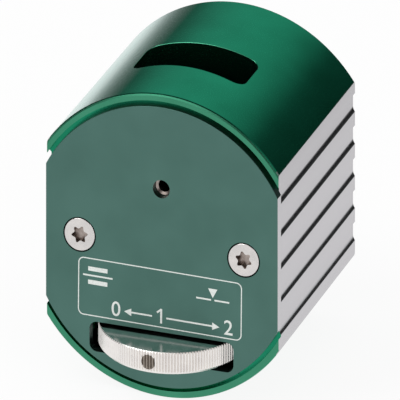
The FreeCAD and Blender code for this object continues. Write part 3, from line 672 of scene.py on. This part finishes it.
def indexBar(radius, depth):
    middle = (wheelLow.z + wheelHigh.z) / 2
    edge = wheelY - wheelRadius
    return diskBar(radius, edge - past, edge + depth, wheel["indexSegments"], z=middle)


def wheelPieces():
    hole = indexBar(wheel["indexRadius"], wheel["indexHole"])
    disc = asPiece("knurledWheel", carve(knurledDisc(), [hole]), "wheel",
                   finishes["nickelTeeth"], ["thumbwheel"], smooth=0)
    disc.data.materials.append(finishes["nickel"])
    # the flat top and bottom faces take the darker nickel: painted shade on the mirror faces
    for face in disc.data.polygons:
        if abs(face.normal.z) > 0.9:
            face.material_index = 1
    pin = indexBar(wheel["indexRadius"] - wheel["clear"], wheel["indexDepth"])
    asPiece("indexMark", carve(knurledDisc(), [pin], "INTERSECT"), "wheel",
            finishes["indexMetal"], ["index_pin"], smooth=0)


wheelPieces()
print("thumbwheel made")


# ---------- entry bush

entry = {"lip": 1.45 * mm, "front": 1.05 * mm, "funnel": 2.3 * mm, "bore": 0.6 * mm,
         "seat": 1.01 * mm, "seatDepth": 0.9 * mm, "lipRing": 1.05 * mm,
         "lipRingDepth": 0.18 * mm, "segments": 72}


def entryPiece():
    y0 = bushLow.y + entry["front"]
    outer = (bushHigh.z - bushLow.z) / 2
    long, collar = bushHigh.y - y0, seatY - y0
    outline = [(entry["lip"], 0), (entry["lip"], collar), (outer, collar), (outer, long),
               (entry["seat"], long), (entry["seat"], long - entry["seatDepth"]),
               (entry["bore"], long - entry["seatDepth"]),
               (entry["bore"], entry["funnel"] - entry["front"]),
               (entry["lipRing"], entry["lipRingDepth"])]
    place = Matrix.Translation((0, y0, fibreZ)) @ towardsBack
    bm = spinProfile(outline, place, entry["segments"])
    piece = asPiece("entryFunnel", bm, "housing", finishes["boreShadeSteel"], ["entry_bush"],
                    smooth=30)
    piece.data.materials.append(finishes["recessShadeSteel"])
    # the funnel takes the dark bore steel and its front lip the mid-tone recess steel: painted
    # shade inside the fibre hole
    for face in piece.data.polygons:
        if face.center.y < y0 + entry["lipRingDepth"] and face.normal.y < -0.8:
            face.material_index = 1


entryPiece()
print("entry bush made")


# ---------- printed scale on the plate

label = {"thick": 0.02 * mm, "line": 0.17 * mm, "left": -14.65 * mm, "right": 14.1 * mm,
         "top": -3.72 * mm, "bottom": -13.3 * mm, "corner": 1.0 * mm, "cornerSegments": 8,
         "tilt": 0.58, "digitHeight": 2.4 * mm, "digitFoot": -12.6 * mm, "capShare": 0.7,
         "digits": (("0", -7.95 * mm), ("2", 11.78 * mm)), "bold": 0.015 * mm,
         "oneX": 0, "stroke": 0.34 * mm, "flag": 0.85 * mm, "flagNear": 0.2, "flagDrop": 0.6,
         "flagStroke": 0.9, "flagTurn": -38, "flagLift": 0.1,
         "arrowZ": -11.6 * mm, "arrowLine": 0.27 * mm, "arrowHead": 1.25 * mm,
         "arrowWing": 0.62 * mm, "arrows": ((-1.6 * mm, -6.5 * mm), (0.9 * mm, 10.2 * mm))}


def flatBar(bm, x0, x1, z0, z1, turn=0):
    # a printed bar lying on the plate
    middle = ((x0 + x1) / 2, plateFrontY - label["thick"] / 2, axisZ + (z0 + z1) / 2)
    size = Matrix.Diagonal((x1 - x0, label["thick"], z1 - z0, 1))
    place = Matrix.Translation(middle) @ Matrix.Rotation(math.radians(turn), 4, "Y") @ size
    bmesh.ops.create_cube(bm, size=1, matrix=place)


def flatTriangle(bm, tip, foot, wing):
    # a printed arrow tip that points from foot to tip
    along = (Vector(tip) - Vector(foot)).normalized()
    across = Vector((-along.y, along.x)) * wing
    corners = [Vector(tip), Vector(foot) + across, Vector(foot) - across]
    front = plateFrontY - label["thick"]
    verts = [bm.verts.new((c.x, front, axisZ + c.y)) for c in corners]
    pushOut(bm, [bm.faces.new(verts)], (0, label["thick"], 0))


def labelFrame():
    y = plateFrontY - label["thick"]
    line = label["line"]
    low = (label["left"], y, axisZ + label["bottom"])
    high = (label["right"], plateFrontY, axisZ + label["top"])
    holeLow = (low[0] + line, y - past, low[2] + line)
    holeHigh = (high[0] - line, plateFrontY + past, high[2] - line)
    outer = roundedBox(low, high, 1, label["corner"], label["cornerSegments"])
    hole = roundedBox(holeLow, holeHigh, 1, label["corner"] - line, label["cornerSegments"])
    return carve(outer, [hole])


def digitMesh(text, x):
    curve = bpy.data.curves.new("digit", "FONT")
    curve.body = text
    curve.size = label["digitHeight"] / label["capShare"]
    curve.align_x = "CENTER"
    curve.extrude = label["thick"] / 2
    curve.offset = label["bold"]
    thing = bpy.data.objects.new("digit", curve)
    bpy.context.scene.collection.objects.link(thing)
    graph = bpy.context.evaluated_depsgraph_get()
    mesh = bpy.data.meshes.new_from_object(thing.evaluated_get(graph))
    foot = (x, plateFrontY - label["thick"] / 2, axisZ + label["digitFoot"])
    mesh.transform(Matrix.Translation(foot) @ Matrix.Rotation(math.radians(90), 4, "X"))
    bpy.data.objects.remove(thing)
    bpy.data.curves.remove(curve)
    return mesh


def digitOne(bm):
    # an upright stroke with a slanting flag that lies a hair prouder
    x, reach, stroke = label["oneX"], label["flag"], label["stroke"]
    foot = label["digitFoot"]
    top = foot + label["digitHeight"]
    flatBar(bm, x - stroke / 2, x + stroke / 2, foot, top)
    flagFrom = len(bm.verts)
    low = top - label["flagDrop"] * reach
    flatBar(bm, x - reach, x + label["flagNear"] * reach, low, low + label["flagStroke"] * stroke,
            label["flagTurn"])
    bm.verts.ensure_lookup_table()
    bmesh.ops.translate(bm, verts=bm.verts[flagFrom:],
                        vec=(0, -label["flagLift"] * label["thick"], 0))


def arrow(bm, start, tip):
    z, half = label["arrowZ"], label["arrowLine"] / 2
    foot = tip - math.copysign(label["arrowHead"], tip - start)
    flatBar(bm, min(start, foot), max(start, foot), z - half, z + half)
    flatTriangle(bm, (tip, z), (foot, z), label["arrowWing"])


sign = {"line": 0.26 * mm, "fibre": 5.2 * mm, "openX": -11.2 * mm, "openZ": -6.6 * mm,
        "jawWidth": 3.4 * mm, "jawGap": 1.5 * mm, "jaw": 0.7 * mm,
        "cleaveX": 9.0 * mm, "cleaveZ": -6.8 * mm, "fibreDrop": 0.5 * mm, "halfBreak": 0.3 * mm,
        "blade": 1.5 * mm, "bladeGap": 0.35 * mm, "bladeWing": 0.8 * mm}


def openSign(bm):
    # two jaws apart, with the fibre between them
    x, z, half = sign["openX"], sign["openZ"], sign["line"] / 2
    for side in (-1, 1):
        near = z + side * sign["jawGap"] / 2
        far = near + side * sign["jaw"]
        flatBar(bm, x - sign["jawWidth"] / 2, x + sign["jawWidth"] / 2,
                min(near, far), max(near, far))
    flatBar(bm, x - sign["fibre"] / 2, x + sign["fibre"] / 2, z - half, z + half)


def cleaveSign(bm):
    # a fibre in two halves under a blade
    x, z, half = sign["cleaveX"], sign["cleaveZ"] - sign["fibreDrop"], sign["line"] / 2
    reach, gap = sign["fibre"] / 2, sign["halfBreak"]
    flatBar(bm, x - reach - gap, x - gap, z - half, z + half)
    flatBar(bm, x + gap, x + reach + gap, z - half, z + half)
    tip = z + sign["bladeGap"]
    flatTriangle(bm, (x, tip), (x, tip + sign["blade"]), sign["bladeWing"])


def labelPiece():
    bm = labelFrame()
    digitOne(bm)
    for text, x in label["digits"]:
        mesh = digitMesh(text, x)
        bm.from_mesh(mesh)
        bpy.data.meshes.remove(mesh)
    for start, tip in label["arrows"]:
        arrow(bm, start, tip)
    openSign(bm)
    cleaveSign(bm)
    tilt = Matrix.Rotation(math.radians(label["tilt"]), 4, "Y")
    middle = Matrix.Translation((0, 0, axisZ + (label["top"] + label["bottom"]) / 2))
    bmesh.ops.transform(bm, matrix=middle @ tilt @ middle.inverted(), verts=bm.verts)
    asPiece("printedScale", bm, "housing", finishes["printedWhite"], (),
            smooth=0)


labelPiece()
print("printed scale made")


# ---------- finishes of the pieces that come straight from the frame

slotFinishes = {
    "ground_steel": "turnedSteel", "gear_steel": "gearSteel", "spring_steel": "springSteel",
    "bearing_bronze": "bronze", "black_aluminium": "blackAnodised", "carbide": "carbide",
    "screw_steel": "screwSteel", "polished_steel": "nickel", "index_metal": "indexMetal",
    "anodised_body": "greenBody", "anodised_plate": "greenPlate",
}
for part in frame["record"]["subparts"]:
    node = frame["nodes"][part["node"]]
    finish = finishes[slotFinishes[part["material_slot"]]]
    for slot in node.material_slots:
        slot.material = finish
    if not node.material_slots:
        node.data.materials.append(finish)
print("finishes set")


# ---------- floor, light and camera

# each soft box: direction, cosines where its glow starts and is full, power
studio = {"floorSize": 4.0, "floorTone": (0.86, 0.86, 0.86), "floorRoughness": 0.9,
          "floorGlow": 0.9, "cardSide": (0.05, 0.078), "cardBack": (0.045, 0.075),
          "fadeRange": (0.2, 0.55), "far": 0.36, "shade": 0.02, "ambient": 0.78, "room": 0.03,
          "boxes": (((-0.15, 0.8, 0.58), 0.6, 0.92, 0.13),
                    ((-0.15, 0.8, 0.58), 0.85, 0.985, 0.8),
                    ((-0.5, 0.85, -0.15), 0.965, 0.997, 0.3),
                    ((-0.1, -0.42, 0.9), 0.93, 0.985, 1.3),
                    ((-0.3, -0.86, 0.4), 0.93, 0.985, 1.9),
                    ((1, -0.1, 0.2), 0.55, 0.9, 0.5)),
          "lamps": (("keyLight", (-0.45, -0.35, 0.75), 3), ("fillLight", (0.6, -0.5, 0.35), 1)),
          "lampSize": 0.5}
white = (1.0, 1.0, 1.0)


def floorPiece():
    # white to the eye, with the part's shadow; in reflections it dims to the back and has a
    # dark card behind the right side
    bm = bmesh.new()
    bmesh.ops.create_grid(bm, x_segments=1, y_segments=1, size=studio["floorSize"])
    floor = looseObject(bm, "floor")
    material, nodes, links, shader, coords = newMaterial("paleFloor")
    shader.inputs["Base Color"].default_value = (*studio["floorTone"], 1)
    shader.inputs["Roughness"].default_value = studio["floorRoughness"]
    apart = nodes.new("ShaderNodeSeparateXYZ")
    links.new(coords.outputs["Object"], apart.inputs[0])
    right = rampValue(nodes, links, apart.outputs["X"], 0, 1, *studio["cardSide"])
    back = rampValue(nodes, links, apart.outputs["Y"], 0, 1, *studio["cardBack"])
    card = combineValues(nodes, links, "MULTIPLY", right, back)
    bare = rampValue(nodes, links, card, 1, 0, 0, 1)
    fade = rampValue(nodes, links, apart.outputs["Y"], 1, studio["far"], *studio["fadeRange"])
    lit = combineValues(nodes, links, "MULTIPLY", bare, fade)
    path = nodes.new("ShaderNodeLightPath")
    shine = mixColours(nodes, links, lit, (studio["shade"],) * 3, white)
    colour = mixColours(nodes, links, path.outputs["Is Camera Ray"], shine, white)
    glow = nodes.new("ShaderNodeEmission")
    links.new(colour, glow.inputs["Color"])
    seen = rampValue(nodes, links, path.outputs["Is Camera Ray"], 0, studio["floorGlow"], 0, 1)
    share = combineValues(nodes, links, "MAXIMUM", seen, path.outputs["Is Glossy Ray"])
    mix = nodes.new("ShaderNodeMixShader")
    links.new(share, mix.inputs[0])
    links.new(shader.outputs[0], mix.inputs[1])
    links.new(glow.outputs[0], mix.inputs[2])
    links.new(mix.outputs[0], nodes["Material Output"].inputs["Surface"])
    floor.data.materials.append(material)


def worldLight():
    # even light for matt surfaces, and a dark room with soft boxes for what metal shows
    world = bpy.data.worlds.new("studio")
    bpy.context.scene.world = world
    world.use_nodes = True
    nodes, links = world.node_tree.nodes, world.node_tree.links
    coords = nodes.new("ShaderNodeTexCoord")
    room = (studio["room"],) * 3
    for direction, outer, inner, power in studio["boxes"]:
        toBox = nodes.new("ShaderNodeVectorMath")
        toBox.operation = "DOT_PRODUCT"
        links.new(coords.outputs["Generated"], toBox.inputs[0])
        toBox.inputs[1].default_value = Vector(direction).normalized()
        glow = rampValue(nodes, links, toBox.outputs["Value"], 0, 1, outer, inner)
        room = mixColours(nodes, links, glow, room, (power,) * 3)
    path = nodes.new("ShaderNodeLightPath")
    even = (studio["ambient"],) * 3
    soft = mixColours(nodes, links, path.outputs["Is Glossy Ray"], even, room)
    final = mixColours(nodes, links, path.outputs["Is Camera Ray"], soft, white)
    links.new(final, nodes["Background"].inputs["Color"])


def areaLight(name, place, power):
    # a round lamp that points at the part
    data = bpy.data.lights.new(name, "AREA")
    data.shape = "DISK"
    data.size = studio["lampSize"]
    data.energy = power
    lamp = bpy.data.objects.new(name, data)
    bpy.context.scene.collection.objects.link(lamp)
    lamp.location = place
    lamp.rotation_mode = "QUATERNION"
    aim = Vector((0, 0, axisZ)) - Vector(place)
    lamp.rotation_quaternion = aim.to_track_quat("-Z", "Y")


cameraSet = {"azimuth": 19.621, "rise": 0.43598, "distance": 1839.6 * mm, "across": 6.224 * mm,
             "height": 809.64 * mm, "lens": 1092.6, "clip": (0.1, 20)}


def makeCamera():
    # a long lens whose back stands upright, so upright edges stay parallel
    turn = math.radians(cameraSet["azimuth"])
    right = Vector((math.cos(turn), math.sin(turn), 0))
    ahead = Vector((-math.sin(turn), math.cos(turn), 0))
    up = Vector((0, 0, 1))
    back = (up * cameraSet["rise"] - ahead).normalized()
    middle = Vector((0, rimY, axisZ))
    place = middle - ahead * cameraSet["distance"] + right * cameraSet["across"]
    place += up * cameraSet["height"]
    stand = bpy.data.objects.new("cameraStand", None)
    camera = bpy.data.objects.new("camera", bpy.data.cameras.new("camera"))
    for thing in (stand, camera):
        bpy.context.scene.collection.objects.link(thing)
    camera.data.lens = cameraSet["lens"]
    camera.data.clip_start, camera.data.clip_end = cameraSet["clip"]
    camera.parent = stand
    camera.matrix_parent_inverse = Matrix((right, up, back)).transposed().to_4x4()
    camera.matrix_parent_inverse.translation = place
    bpy.context.scene.camera = camera


floorPiece()
worldLight()
for name, place, power in studio["lamps"]:
    areaLight(name, place, power)
makeCamera()
bpy.context.scene.view_settings.view_transform = "Standard"
print("studio ready")
